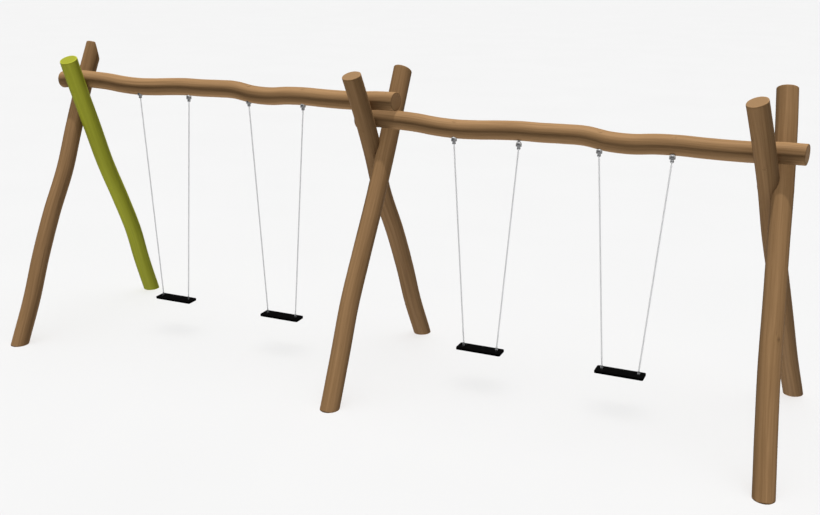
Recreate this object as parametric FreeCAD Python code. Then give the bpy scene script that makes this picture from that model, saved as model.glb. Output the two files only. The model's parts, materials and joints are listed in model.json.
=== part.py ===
import FreeCAD, Part
import math
import os

from FreeCAD import Vector

# Log swing set. Millimetres, +X along the beams, +Y towards the back, +Z up, ground at Z = 0.
# Three frames of two crossed logs carry two overlapping beams, and each beam carries two swings.

# Logs
STATION_STEP = 450           # height between the stations of a leg's centreline
SECTION_STEP = 150           # spacing of the round sections that a log is lofted through
BELOW_GROUND = 120           # how far a leg is lofted below the ground before it is trimmed flat
PAST_END = 40                # how far a beam is lofted past its right end before it is sawn off
TANGENT_STEP = 5             # half the distance over which a centreline's direction is taken
BEAM_RADIUS = 91
BEAM_LENGTH = 4092
BEAM_END_SLANT = 9           # degrees that a beam's right end is sawn off square, facing the front
# Rise of a beam's centreline above the line between its ends, at equal steps along it
BEAM_RISE = (9, 32, 26, 14, -9, -19, -13, 1, 11, 10, 14, 12, -22, -30, -14, -9, -14, -15, -10, 5, 9)
# How far a beam's centreline strays to the back, at equal steps along it
BEAM_SWAY = (10, 12, 26, 40, 44, 38, 32, 32, 37, 44, 48, 42, 25, 4, -22)
# Each beam starts at x = start; ends are the heights of the line that its rise is counted from.
BEAMS = {
    "left_beam": dict(start=-3909, ends=(2756, 2756), back=-10),
    "right_beam": dict(start=-241, ends=(2557, 2542), back=0),
}

# Each leg runs from its foot to its head, given as (x, y) at the ground and at the last station.
# Its bow is how far the log bends sideways, station by station. Its top is sawn square and then
# tipped to the back and to the right by the angles in tip.
LEGS = {
    "left_front_leg": dict(
        foot=(-3856, -1095), head=(-3745, 379), radius=93, top=3135, tip=(0, 0),
        bow=(0, 7, -12, -10, 15, -2, -8, 0)),
    "left_rear_leg": dict(
        foot=(-3762, 1115), head=(-3541, -354), radius=95, top=3024, tip=(1, -3),
        bow=(0, 9, 35, 19, -8, -6, -7, 0)),
    "middle_front_leg": dict(
        foot=(3, -1115), head=(69, 452), radius=93, top=3023, tip=(9, 4),
        bow=(0, -12, -28, -16, 0, 6, 3, 0)),
    "middle_rear_leg": dict(
        foot=(-3, 1131), head=(-127, -430), radius=93, top=3030, tip=(6, 0),
        bow=(0, -9, 7, 8, -13, 8, 12, 0)),
    "right_front_leg": dict(
        foot=(3869, -1117), head=(3605, 452), radius=91, top=3032, tip=(1, 1),
        bow=(0, -10, -15, -7, -1, 9, 10, 0)),
    "right_rear_leg": dict(
        foot=(3927, 1130), head=(3431, -455), radius=92, top=3003, tip=(7, -5),
        bow=(0, -10, -7, -6, -7, 9, 9, 0)),
}
BOW_AZIMUTH = 25             # the way all the legs bow, from +X towards +Y, in degrees
SLOPED_CUT_DROP = 187        # the left front leg's top is also sawn off at a slope this deep
SLOPED_CUT_START = 2         # where the slope starts, measured from the log's centreline
SLOPED_CUT_AZIMUTH = 45      # the way the sloped face looks, from +X towards +Y, in degrees
CUTTER_SIZE = 1000           # side of the block that makes a saw cut

# Pairs of legs that cross, the one nearer to +X first
CROSSINGS = (
    ("left_rear_leg", "left_front_leg"),
    ("middle_front_leg", "middle_rear_leg"),
    ("right_front_leg", "right_rear_leg"),
)

CROSSING_SEARCH = (1500, 2900)  # heights between which each pair crosses
CROSSING_PRECISION = 0.01
NEAREST_POINT_ROUNDS = 20

# Timber fasteners
HALVING_LENGTH = 1100        # length of the block that is cut out of a leg along the other leg
HALVING_CLEARANCE = 3        # each side of the other leg
COUNTERBORE_RADIUS = 20
COUNTERBORE_DEPTH = 46
PLUG_THICKNESS = 14
WASHER_RADIUS = 18
WASHER_THICKNESS = 3
ROD_RADIUS = 8               # threaded rod through two crossed legs, with a nut at each end
ROD_END = 5                  # thread that stands out of a nut
NUT_FLATS = 24
NUT_HEIGHT = 13
SCREW_RADIUS = 6             # timber screw through a log into the next one
SCREW_REACH = 80             # how far it goes past the joint
SCREW_HEAD_FLATS = 19
SCREW_HEAD_HEIGHT = 8
OVERLAP_SCREWS = (-175, 95)  # x of the screws that tie the left beam down onto the right one
PAINTED_LEG = "left_rear_leg"

# Hangers, with heights counted from the pivot
PIVOT_HEIGHTS = (2660, 2656, 2440, 2435)
SWING_CENTRES = (-2543, -1167, 1087, 2463)
HANGER_SPREAD = 317          # from a swing's centre to each hanger
STUD_BORE_DEPTH = 50         # of the stud's counterbore in the top of the beam
STUD_PLUG_THICKNESS = 22
STUD_START = 20              # where the stud's lower end sits in the housing
SKIRT_RADIUS = 27            # the housing is a bell: a straight skirt under a dome
SKIRT_BOTTOM = -15
SKIRT_TOP = 6
DOME_RADIUS = 21.5           # of the dome at the middle of its curve
DOME_MIDDLE = 21.5
DOME_TOP_RADIUS = 9
DOME_TOP = 31
COLLAR_RADIUS = 12           # neck of the housing, which bears on the beam
HOUSING_SEAT = 34            # least height of the housing's seat
HOUSING_SEAT_DEPTH = 3       # the seat is milled at least this deep into the beam
HOUSING_RECESS_RADIUS = 29
HOUSING_SLOT_TOP = 16
PIVOT_PIN_RADIUS = 6
PIVOT_PIN_HALF_LENGTH = 25
BUSH_RADIUS = 8
RUNNING_CLEARANCE = 0.05
TONGUE_WIDTH = 27            # along the pivot pin
SLOT_CLEARANCE = 0.5
TONGUE_EYE_RADIUS = 13
TONGUE_DEPTH = 24
TONGUE_BOTTOM = -43
TONGUE_ROUNDING = 4
TONGUE_CLEARANCE = 4         # kept free in the beam round a tongue that swings to its limits
FORK_GAP = 8.4
FORK_GAP_TOP = -22
FORK_PIN = -36.5
FORK_PIN_RADIUS = 4
PIN_HEAD_THICKNESS = 2.5
PIN_HEAD_OVERHANG = 2        # a pin's head is this much larger in radius than its shank

CHAIN_ROD_RADIUS = 4.5       # a round bar that weighs as much as a chain of 5 mm links
CHAIN_END_GAP = 1

# Seats
SEAT_SIZE = (455, 149, 26)
SEAT_TOP = 392
SEAT_CORNER = 17
SEAT_EDGE = 3.5
CORE_SIZE = (410, 70, 5)
LUG_SPREAD = 171             # from a swing's centre to each seat lug
LUG_HEIGHT = 13              # of the shackle pin above the seat
LUG_RADIUS = 8
LUG_THICKNESS = 8
LUG_FLANGE_RADIUS = 11
LUG_FLANGE_THICKNESS = 2
LUG_SHANK_RADIUS = 4
LUG_SHANK_END = 2            # thread that stands out of the nut under the seat
SEAT_NUT_FLANGE_RADIUS = 11
SEAT_NUT_FLANGE = 2
SEAT_NUT_FLATS = 13
SEAT_NUT_HEIGHT = 6.5
SHACKLE_WIRE = 3             # radius
SHACKLE_HALF_WIDTH = 7.5
SHACKLE_STRAIGHT = 13
SHACKLE_EAR_RADIUS = 6
SHACKLE_EAR_WIDTH = 6.2
SHACKLE_PIN_RADIUS = 3

HEXAGON_SIDES = 6
FULL_TURN = 360              # degrees
THROUGH = 3                  # a cutter this many times as long as its cut passes right through
UPRIGHT = 0.9                # least z of the direction of an edge that counts as upright
NEAR = 0.1                   # distance within which an edge counts as lying on a face

X_AXIS = Vector(1, 0, 0)
Z_AXIS = Vector(0, 0, 1)


def smooth(values, position):
    """Value of a smooth curve through equally spaced values, at a position counted in steps."""
    last = len(values) - 1
    i = min(max(int(math.floor(position)), 0), last - 1)
    t = position - i
    a = values[max(i - 1, 0)]
    b = values[i]
    c = values[i + 1]
    d = values[min(i + 2, last)]
    slope_b = (c - a) / 2
    slope_c = (d - b) / 2
    return (b * (2 * t ** 3 - 3 * t ** 2 + 1) + slope_b * (t ** 3 - 2 * t ** 2 + t)
            + c * (3 * t ** 2 - 2 * t ** 3) + slope_c * (t ** 3 - t ** 2))


def leg_point(leg, height):
    """Point of a leg's centreline at a height."""
    steps = height / STATION_STEP
    share = steps / (len(leg["bow"]) - 1)
    bow = smooth(leg["bow"], steps) if steps > 0 else 0
    azimuth = math.radians(BOW_AZIMUTH)
    x = leg["foot"][0] + share * (leg["head"][0] - leg["foot"][0]) + bow * math.cos(azimuth)
    y = leg["foot"][1] + share * (leg["head"][1] - leg["foot"][1]) + bow * math.sin(azimuth)
    return Vector(x, y, height)


def leg_direction(leg, height):
    """Unit tangent of a leg's centreline, pointing up."""
    return (leg_point(leg, height + TANGENT_STEP) - leg_point(leg, height - TANGENT_STEP)).normalize()


def beam_point(beam, x):
    """Point of a beam's centreline at x."""
    share = (x - beam["start"]) / BEAM_LENGTH
    sway = smooth(BEAM_SWAY, share * (len(BEAM_SWAY) - 1))
    rise = smooth(BEAM_RISE, share * (len(BEAM_RISE) - 1))
    line = beam["ends"][0] + share * (beam["ends"][1] - beam["ends"][0])
    return Vector(x, beam["back"] + sway, line + rise)


def beam_surface(beam, x, side):
    """Height of a beam's top (side 1) or underside (side -1) over the plane Y = 0."""
    centre = beam_point(beam, x)
    return centre.z + side * math.sqrt(BEAM_RADIUS ** 2 - centre.y ** 2)


def loft(points, directions, radius):
    """Solid log through round sections of one radius."""
    wires = [Part.Wire(Part.Circle(p, d, radius).toShape()) for p, d in zip(points, directions)]
    return Part.makeLoft(wires, True, False)


def spaced(low, high, step):
    """Equally spaced values from low to high, about a step apart."""
    count = max(int(round((high - low) / step)), 1)
    return [low + (high - low) * i / count for i in range(count + 1)]


def rod(start, direction, radius, length):
    return Part.makeCylinder(radius, length, start, direction)


def ring(start, direction, radius, thickness, hole):
    return rod(start, direction, radius, thickness).cut(rod(start, direction, hole, thickness))


def hexagon(start, direction, flats, height):
    """Hexagonal prism on a plane, standing along direction."""
    corner = flats / math.sqrt(3)
    turn = FreeCAD.Rotation(Z_AXIS, direction)
    corners = []
    for i in range(HEXAGON_SIDES + 1):
        angle = math.radians(FULL_TURN * i / HEXAGON_SIDES)
        offset = Vector(corner * math.cos(angle), corner * math.sin(angle), 0)
        corners.append(start + turn.multVec(offset))
    return Part.Face(Part.makePolygon(corners)).extrude(direction * height)


def nut(start, direction, flats, height, hole):
    return hexagon(start, direction, flats, height).cut(rod(start, direction, hole, height))


def box(centre, size):
    corner = centre - Vector(size[0] / 2, size[1] / 2, size[2] / 2)
    return Part.makeBox(size[0], size[1], size[2], corner)


def half_space(point, normal):
    """Large block on the side of a plane that its normal points to."""
    corner = Vector(-CUTTER_SIZE / 2, -CUTTER_SIZE / 2, 0)
    block = Part.makeBox(CUTTER_SIZE, CUTTER_SIZE, CUTTER_SIZE, corner)
    block.Placement = FreeCAD.Placement(point, FreeCAD.Rotation(Z_AXIS, normal))
    return block


def upright_edges(solid):
    return [e for e in solid.Edges if abs(e.tangentAt(e.FirstParameter).z) > UPRIGHT]


def export(node, *shapes):
    shape = shapes[0] if len(shapes) == 1 else Part.makeCompound(list(shapes))
    shape.exportStep("parts/" + node + ".step")


def raw_leg(leg):
    """Whole log of one leg: level at the ground and sawn off at the top."""
    heights = spaced(-BELOW_GROUND, leg["top"] + BELOW_GROUND, SECTION_STEP)
    points = [leg_point(leg, z) for z in heights]
    directions = [leg_direction(leg, z) for z in heights]
    log = loft(points, directions, leg["radius"])
    back, right = leg["tip"]
    square = leg_direction(leg, leg["top"])
    normal = FreeCAD.Rotation(X_AXIS, -back).multVec(square)
    normal = FreeCAD.Rotation(Vector(0, 1, 0), right).multVec(normal)
    ground = half_space(Vector(points[0].x, points[0].y, 0), Z_AXIS * -1)
    return log.cut([ground, half_space(leg_point(leg, leg["top"]), normal)])


def sloped_top(leg, log):
    """Saws the log's top off at a slope, looking outwards and to the back."""
    azimuth = math.radians(SLOPED_CUT_AZIMUTH)
    outward = Vector(math.cos(azimuth), math.sin(azimuth), 0)
    up = leg_direction(leg, leg["top"])
    edge = leg_point(leg, leg["top"]) - outward * SLOPED_CUT_START
    fall = (outward * (leg["radius"] + SLOPED_CUT_START) - up * SLOPED_CUT_DROP).normalize()
    side = fall.cross(up).normalize()
    normal = side.cross(fall)
    if normal.dot(up) < 0:
        normal = normal * -1
    return log.cut(half_space(edge, normal))


def raw_beam(beam):
    """Whole log of one beam, sawn square at its left end and at a slant at its right end."""
    end = beam["start"] + BEAM_LENGTH
    stations = spaced(beam["start"], end + PAST_END, SECTION_STEP)
    points = [beam_point(beam, x) for x in stations]
    directions = []
    for x in stations:
        ahead = beam_point(beam, x + TANGENT_STEP)
        behind = beam_point(beam, max(x - TANGENT_STEP, beam["start"]))
        directions.append((ahead - behind).normalize())
    directions[0] = X_AXIS
    slant = math.radians(BEAM_END_SLANT)
    normal = Vector(math.cos(slant), -math.sin(slant), 0)
    return loft(points, directions, BEAM_RADIUS).cut(half_space(beam_point(beam, end), normal))


def crossing_height(first, second):
    """Height at which two legs pass each other, by halving."""
    low, high = CROSSING_SEARCH
    sign = leg_point(first, low).y - leg_point(second, low).y
    while high - low > CROSSING_PRECISION:
        middle = (low + high) / 2
        gap = leg_point(first, middle).y - leg_point(second, middle).y
        if gap * sign > 0:
            low = middle
        else:
            high = middle
    return low


def halving_block(leg, other, height, middle_x, side):
    """Block that a leg loses where the other leg is let into it, on one side of a plane."""
    width = 2 * (other["radius"] + HALVING_CLEARANCE)
    depth = leg["radius"] * 2
    low_x = 0 if side > 0 else -depth
    block = Part.makeBox(depth, width, HALVING_LENGTH, Vector(low_x, -width / 2, -HALVING_LENGTH / 2))
    along = leg_direction(other, height)
    upright = Vector(0, along.y, along.z).normalize()
    turn = FreeCAD.Rotation(X_AXIS, upright.cross(X_AXIS), upright, "XZY")
    block.Placement = FreeCAD.Placement(Vector(middle_x, leg_point(other, height).y, height), turn)
    return block


def plug(log, surface, outward, thickness):
    """Wooden plug that closes a counterbore, cut flush with the log."""
    start = surface - outward * thickness
    return rod(start, outward, COUNTERBORE_RADIUS, THROUGH * thickness).common(log)


def plug_group(log_name, group):
    """The plugs in the painted leg are painted with it, so they are kept apart."""
    return "painted_plugs" if log_name == PAINTED_LEG else group


def counterbore(seat, outward):
    return rod(seat, outward, COUNTERBORE_RADIUS, THROUGH * COUNTERBORE_DEPTH)


def washer(seat, outward, hole):
    return ring(seat, outward, WASHER_RADIUS, WASHER_THICKNESS, hole)


def join_crossing(logs, fasteners, first_name, second_name):
    """Halves two crossed legs into each other and puts a threaded rod through both."""
    first = LEGS[first_name]
    second = LEGS[second_name]
    height = crossing_height(first, second)
    first_centre = leg_point(first, height)
    second_centre = leg_point(second, height)
    middle_x = (first_centre.x - first["radius"] + second_centre.x + second["radius"]) / 2
    raw = {first_name: logs[first_name], second_name: logs[second_name]}
    cuts = []
    seats = []
    ends = ((first_name, first_centre, X_AXIS), (second_name, second_centre, X_AXIS * -1))
    for name, centre, outward in ends:
        surface = Vector(centre.x, second_centre.y, height) + outward * LEGS[name]["radius"]
        seat = surface - outward * COUNTERBORE_DEPTH
        nut_start = seat + outward * WASHER_THICKNESS
        seats.append(nut_start + outward * (NUT_HEIGHT + ROD_END))
        cuts.append(counterbore(seat, outward))
        group = plug_group(name, "crossing_plugs")
        fasteners[group].append(plug(raw[name], surface, outward, PLUG_THICKNESS))
        fasteners["rod_washers"].append(washer(seat, outward, ROD_RADIUS))
        fasteners["rod_nuts"].append(nut(nut_start, outward, NUT_FLATS, NUT_HEIGHT, ROD_RADIUS))
    threaded = rod(seats[1], X_AXIS, ROD_RADIUS, seats[0].x - seats[1].x)
    fasteners["crossing_rods"].append(threaded)
    first_block = halving_block(first, second, height, middle_x, -1)
    second_block = halving_block(second, first, height, middle_x, 1)
    logs[first_name] = logs[first_name].cut([first_block, cuts[0], threaded])
    logs[second_name] = logs[second_name].cut([second_block, cuts[1], threaded])
    print("crossing", first_name, round(height), "set apart", round(first_centre.x - second_centre.x))


def timber_screw(logs, fasteners, outer, inner, centre, radius, inward):
    """Screw from a counterbore in the outer log, through it and into the inner log."""
    outward = inward * -1
    surface = centre + outward * radius
    seat = surface + inward * COUNTERBORE_DEPTH
    length = 2 * radius - COUNTERBORE_DEPTH + SCREW_REACH
    head_start = seat + outward * WASHER_THICKNESS
    shank = rod(head_start, inward, SCREW_RADIUS, length + WASHER_THICKNESS)
    head = hexagon(head_start, outward, SCREW_HEAD_FLATS, SCREW_HEAD_HEIGHT)
    fasteners["timber_screws"].append(head.fuse(shank).removeSplitter())
    fasteners["screw_washers"].append(washer(seat, outward, SCREW_RADIUS))
    group = plug_group(outer, "screw_plugs")
    fasteners[group].append(plug(logs[outer], surface, outward, PLUG_THICKNESS))
    logs[outer] = logs[outer].cut([counterbore(seat, outward), shank])
    logs[inner] = logs[inner].cut(shank)


def nearest_leg_point(leg, target):
    """Point of a leg's centreline nearest to a point of a beam's centreline, seen along X."""
    height = target.z
    for _ in range(NEAREST_POINT_ROUNDS):
        offset = target - leg_point(leg, height)
        offset.x = 0
        height += offset.dot(leg_direction(leg, height))
    return leg_point(leg, height)


def join_beam(logs, fasteners, beam_name, names):
    """Beds a beam in the crotch of two legs and screws each leg to it."""
    beam = BEAMS[beam_name]
    for name in names:
        leg = LEGS[name]
        target = beam_point(beam, leg_point(leg, beam["ends"][0]).x)
        centre = nearest_leg_point(leg, target)
        target = beam_point(beam, centre.x)
        inward = target - centre
        inward.x = 0
        print(name, "to", beam_name, round(inward.Length, 1), "of", leg["radius"] + BEAM_RADIUS)
        logs[name] = logs[name].cut(logs[beam_name])
        timber_screw(logs, fasteners, name, beam_name, centre, leg["radius"], inward.normalize())


def overlap_beams(logs, fasteners):
    """Beds the left beam's end on the right beam and screws it down."""
    logs["right_beam"] = logs["right_beam"].cut(logs["left_beam"])
    for x in OVERLAP_SCREWS:
        centre = beam_point(BEAMS["left_beam"], x)
        under = beam_point(BEAMS["right_beam"], x)
        inward = under - centre
        print("overlap at", x, round(inward.Length, 1), "of", 2 * BEAM_RADIUS)
        timber_screw(logs, fasteners, "left_beam", "right_beam", centre, BEAM_RADIUS, inward.normalize())


def housing(pivot, seat_height):
    """Bell-shaped housing, solid of revolution on the stud's axis."""
    shoulder = Vector(SKIRT_RADIUS, 0, SKIRT_TOP)
    dome_top = Vector(DOME_TOP_RADIUS, 0, DOME_TOP)
    low = Vector(0, 0, SKIRT_BOTTOM)
    high = Vector(0, 0, DOME_TOP)
    outline = [
        Part.makeLine(low, Vector(SKIRT_RADIUS, 0, SKIRT_BOTTOM)),
        Part.makeLine(Vector(SKIRT_RADIUS, 0, SKIRT_BOTTOM), shoulder),
        Part.Arc(shoulder, Vector(DOME_RADIUS, 0, DOME_MIDDLE), dome_top).toShape(),
        Part.makeLine(dome_top, high),
        Part.makeLine(high, low),
    ]
    bell = Part.Face(Part.Wire(outline)).revolve(Vector(0, 0, 0), Z_AXIS, FULL_TURN)
    bell.translate(pivot)
    return bell.fuse(rod(pivot, Z_AXIS, COLLAR_RADIUS, seat_height)).removeSplitter()


def hanger(logs, fasteners, index, x):
    """Fixed half of a hanger: the housing under the beam and its stud through the beam."""
    beam_name = swing_beam(index)
    beam = BEAMS[beam_name]
    pivot = Vector(x, 0, PIVOT_HEIGHTS[index])
    underside = beam_surface(beam, x, -1) - pivot.z
    seat_height = max(HOUSING_SEAT, underside + HOUSING_SEAT_DEPTH)
    surface = Vector(x, 0, beam_surface(beam, x, 1))
    top_seat = surface - Z_AXIS * STUD_BORE_DEPTH
    nut_start = top_seat + Z_AXIS * WASHER_THICKNESS
    stud_start = pivot + Z_AXIS * STUD_START
    stud_end = nut_start.z + NUT_HEIGHT + ROD_END
    stud = rod(stud_start, Z_AXIS, ROD_RADIUS, stud_end - stud_start.z)
    slot_height = HOUSING_SLOT_TOP - 2 * SKIRT_BOTTOM
    slot_centre = pivot + Z_AXIS * (HOUSING_SLOT_TOP - slot_height / 2)
    slot_width = TONGUE_WIDTH + 2 * SLOT_CLEARANCE
    slot = box(slot_centre, (slot_width, THROUGH * SKIRT_RADIUS, slot_height))
    pin = rod(pivot - X_AXIS * PIVOT_PIN_HALF_LENGTH, X_AXIS, PIVOT_PIN_RADIUS, 2 * PIVOT_PIN_HALF_LENGTH)
    pin_bore = rod(pivot - X_AXIS * 2 * SKIRT_RADIUS, X_AXIS, PIVOT_PIN_RADIUS, 4 * SKIRT_RADIUS)
    recess_start = pivot + Z_AXIS * 2 * SKIRT_BOTTOM
    recess = rod(recess_start, Z_AXIS, HOUSING_RECESS_RADIUS, seat_height - 2 * SKIRT_BOTTOM)
    fasteners["hanger_housings"].append(housing(pivot, seat_height).cut([slot, pin_bore, stud]))
    fasteners["hanger_studs"].append(stud)
    fasteners["hanger_plugs"].append(plug(logs[beam_name], surface, Z_AXIS, STUD_PLUG_THICKNESS))
    fasteners["rod_washers"].append(washer(top_seat, Z_AXIS, ROD_RADIUS))
    fasteners["rod_nuts"].append(nut(nut_start, Z_AXIS, NUT_FLATS, NUT_HEIGHT, ROD_RADIUS))
    fasteners["pivot_pins"].append(pin)
    cuts = [recess, tongue_sweep(pivot), stud, counterbore(top_seat, Z_AXIS)]
    logs[beam_name] = logs[beam_name].cut(cuts)
    print("hanger", x, "underside", round(underside))


def swing_beam(index):
    """Name of the beam that carries a swing."""
    return "left_beam" if SWING_CENTRES[index] < 0 else "right_beam"


def tongue_sweep(pivot):
    """Room that a tongue needs while it swings, as far up as it reaches."""
    reach = math.hypot(TONGUE_BOTTOM, TONGUE_DEPTH / 2) + TONGUE_CLEARANCE
    half_width = TONGUE_WIDTH / 2 + TONGUE_CLEARANCE
    sweep = rod(pivot - X_AXIS * half_width, X_AXIS, reach, 2 * half_width)
    return sweep.cut(half_space(pivot + Z_AXIS * HOUSING_SLOT_TOP, Z_AXIS))


def tongue(pivot):
    """Moving half of a hanger: an eye on the pivot, forked for the chain below it."""
    half_width = X_AXIS * (TONGUE_WIDTH / 2)
    eye = rod(pivot - half_width, X_AXIS, TONGUE_EYE_RADIUS, TONGUE_WIDTH)
    block = box(pivot + Z_AXIS * (TONGUE_BOTTOM / 2), (TONGUE_WIDTH, TONGUE_DEPTH, -TONGUE_BOTTOM))
    block = block.makeFillet(TONGUE_ROUNDING, upright_edges(block))
    gap_height = 2 * (FORK_GAP_TOP - TONGUE_BOTTOM)
    gap = box(pivot + Z_AXIS * (FORK_GAP_TOP - gap_height / 2), (FORK_GAP, 2 * TONGUE_DEPTH, gap_height))
    bush_bore = rod(pivot - half_width * 2, X_AXIS, BUSH_RADIUS, 2 * TONGUE_WIDTH)
    pin_start = pivot - half_width * 2 + Z_AXIS * FORK_PIN
    pin_bore = rod(pin_start, X_AXIS, FORK_PIN_RADIUS, 2 * TONGUE_WIDTH)
    return eye.fuse(block).cut([gap, bush_bore, pin_bore]).removeSplitter()


def headed_pin(centre, radius, half_grip):
    """Pin along X with a head at each end, one of them closed up after it is put in."""
    head_radius = radius + PIN_HEAD_OVERHANG
    shank = rod(centre - X_AXIS * half_grip, X_AXIS, radius, 2 * half_grip)
    left = rod(centre - X_AXIS * half_grip, X_AXIS * -1, head_radius, PIN_HEAD_THICKNESS)
    right = rod(centre + X_AXIS * half_grip, X_AXIS, head_radius, PIN_HEAD_THICKNESS)
    return shank.fuse([left, right]).removeSplitter()


def shackle(centre):
    """Bow shackle standing up from its pin, which lies along X."""
    shoulder = Z_AXIS * SHACKLE_STRAIGHT
    left = centre - X_AXIS * SHACKLE_HALF_WIDTH
    right = centre + X_AXIS * SHACKLE_HALF_WIDTH
    crown = centre + shoulder + Z_AXIS * SHACKLE_HALF_WIDTH
    edges = [
        Part.makeLine(left, left + shoulder),
        Part.Arc(left + shoulder, crown, right + shoulder).toShape(),
        Part.makeLine(right + shoulder, right),
    ]
    section = Part.Wire(Part.Circle(left, Z_AXIS, SHACKLE_WIRE).toShape())
    bow = Part.Wire(edges).makePipeShell([section], True, False)
    ears = [rod(p - X_AXIS * (SHACKLE_EAR_WIDTH / 2), X_AXIS, SHACKLE_EAR_RADIUS, SHACKLE_EAR_WIDTH)
            for p in (left, right)]
    bore = rod(left - X_AXIS * SHACKLE_EAR_WIDTH, X_AXIS, SHACKLE_PIN_RADIUS,
               2 * SHACKLE_HALF_WIDTH + 2 * SHACKLE_EAR_WIDTH)
    return bow.fuse(ears).cut(bore).removeSplitter()


def swing(index, x):
    """Everything that swings from one pair of hangers, down to the pins of the seat's lugs."""
    prefix = "swing_%d_" % (index + 1)
    pieces = {name: [] for name in ("tongues", "bushes", "fork_pins", "chains", "shackles", "shackle_pins")}
    for side in (-1, 1):
        pivot = Vector(x + side * HANGER_SPREAD, 0, PIVOT_HEIGHTS[index])
        lug = Vector(x + side * LUG_SPREAD, 0, SEAT_TOP + LUG_HEIGHT)
        pieces["tongues"].append(tongue(pivot))
        bush_start = pivot - X_AXIS * (TONGUE_WIDTH / 2)
        bush_hole = PIVOT_PIN_RADIUS + RUNNING_CLEARANCE
        pieces["bushes"].append(ring(bush_start, X_AXIS, BUSH_RADIUS, TONGUE_WIDTH, bush_hole))
        fork_pin = pivot + Z_AXIS * FORK_PIN
        pieces["fork_pins"].append(headed_pin(fork_pin, FORK_PIN_RADIUS, TONGUE_WIDTH / 2))
        bow_top = SHACKLE_STRAIGHT + SHACKLE_HALF_WIDTH + SHACKLE_WIRE
        chain_top = pivot + Z_AXIS * (TONGUE_BOTTOM - CHAIN_END_GAP)
        chain_bottom = lug + Z_AXIS * (bow_top + CHAIN_END_GAP)
        run = chain_top - chain_bottom
        pieces["chains"].append(rod(chain_bottom, run, CHAIN_ROD_RADIUS, run.Length))
        pieces["shackles"].append(shackle(lug))
        grip = SHACKLE_HALF_WIDTH + SHACKLE_EAR_WIDTH / 2
        pieces["shackle_pins"].append(headed_pin(lug, SHACKLE_PIN_RADIUS, grip))
    print(prefix, "chain", round(run.Length))
    for name, shapes in pieces.items():
        export(prefix + name, *shapes)


def seat_lug(x):
    """Eye on a flange, with a threaded shank through the seat."""
    top = Vector(x, 0, SEAT_TOP)
    eye_centre = top + Z_AXIS * LUG_HEIGHT
    eye = rod(eye_centre - X_AXIS * (LUG_THICKNESS / 2), X_AXIS, LUG_RADIUS, LUG_THICKNESS)
    post = box(top + Z_AXIS * (LUG_HEIGHT / 2), (LUG_THICKNESS, 2 * LUG_RADIUS, LUG_HEIGHT))
    flange = rod(top, Z_AXIS, LUG_FLANGE_RADIUS, LUG_FLANGE_THICKNESS)
    shank_length = SEAT_SIZE[2] + SEAT_NUT_FLANGE + SEAT_NUT_HEIGHT + LUG_SHANK_END
    shank = rod(top, Z_AXIS * -1, LUG_SHANK_RADIUS, shank_length)
    hole_radius = SHACKLE_PIN_RADIUS + RUNNING_CLEARANCE
    bore = rod(eye_centre - X_AXIS * LUG_THICKNESS, X_AXIS, hole_radius, 2 * LUG_THICKNESS)
    return eye.fuse([post, flange, shank]).cut(bore).removeSplitter(), shank


def seat(index, x):
    """Rubber seat moulded round a steel core, with its two lugs and their nuts."""
    prefix = "seat_%d_" % (index + 1)
    centre = Vector(x, 0, SEAT_TOP - SEAT_SIZE[2] / 2)
    rubber = box(centre, SEAT_SIZE)
    rubber = rubber.makeFillet(SEAT_CORNER, upright_edges(rubber))
    rim = [e for e in rubber.Edges if abs(e.CenterOfMass.z - centre.z) > SEAT_SIZE[2] / 2 - NEAR]
    rubber = rubber.makeFillet(SEAT_EDGE, rim)
    core = box(centre, CORE_SIZE)
    down = Z_AXIS * -1
    lugs = []
    shanks = []
    nuts = []
    for side in (-1, 1):
        lug, shank = seat_lug(x + side * LUG_SPREAD)
        underside = Vector(x + side * LUG_SPREAD, 0, SEAT_TOP - SEAT_SIZE[2])
        flange = ring(underside, down, SEAT_NUT_FLANGE_RADIUS, SEAT_NUT_FLANGE, LUG_SHANK_RADIUS)
        nut_start = underside + down * SEAT_NUT_FLANGE
        nut_body = nut(nut_start, down, SEAT_NUT_FLATS, SEAT_NUT_HEIGHT, LUG_SHANK_RADIUS)
        lugs.append(lug)
        shanks.append(shank)
        nuts.append(flange.fuse(nut_body).removeSplitter())
    export(prefix + "board", rubber.cut([core] + shanks))
    export(prefix + "core", core.cut(shanks))
    export(prefix + "lugs", *lugs)
    export(prefix + "nuts", *nuts)


def main():
    os.makedirs("parts", exist_ok=True)
    groups = (
        "crossing_rods", "rod_washers", "rod_nuts", "crossing_plugs",
        "timber_screws", "screw_washers", "screw_plugs", "painted_plugs",
        "hanger_studs", "hanger_plugs", "hanger_housings", "pivot_pins",
    )
    fasteners = {name: [] for name in groups}
    logs = {name: raw_leg(leg) for name, leg in LEGS.items()}
    logs["left_front_leg"] = sloped_top(LEGS["left_front_leg"], logs["left_front_leg"])
    for name, beam in BEAMS.items():
        logs[name] = raw_beam(beam)
    for first, second in CROSSINGS:
        join_crossing(logs, fasteners, first, second)
    join_beam(logs, fasteners, "left_beam", CROSSINGS[0])
    join_beam(logs, fasteners, "right_beam", CROSSINGS[1])
    join_beam(logs, fasteners, "right_beam", CROSSINGS[2])
    overlap_beams(logs, fasteners)
    for index, x in enumerate(SWING_CENTRES):
        for side in (-1, 1):
            hanger(logs, fasteners, index, x + side * HANGER_SPREAD)
        swing(index, x)
        seat(index, x)
    for name, shape in logs.items():
        export(name, shape)
    for name, shapes in fasteners.items():
        export(name, *shapes)


main()
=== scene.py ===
"""Looks of the log swing set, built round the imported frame. Metres, +X along the beams, +Y back, +Z up."""

import json
import math

import bmesh
import bpy
import numpy as np
from mathutils import Matrix, Vector, noise


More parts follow.
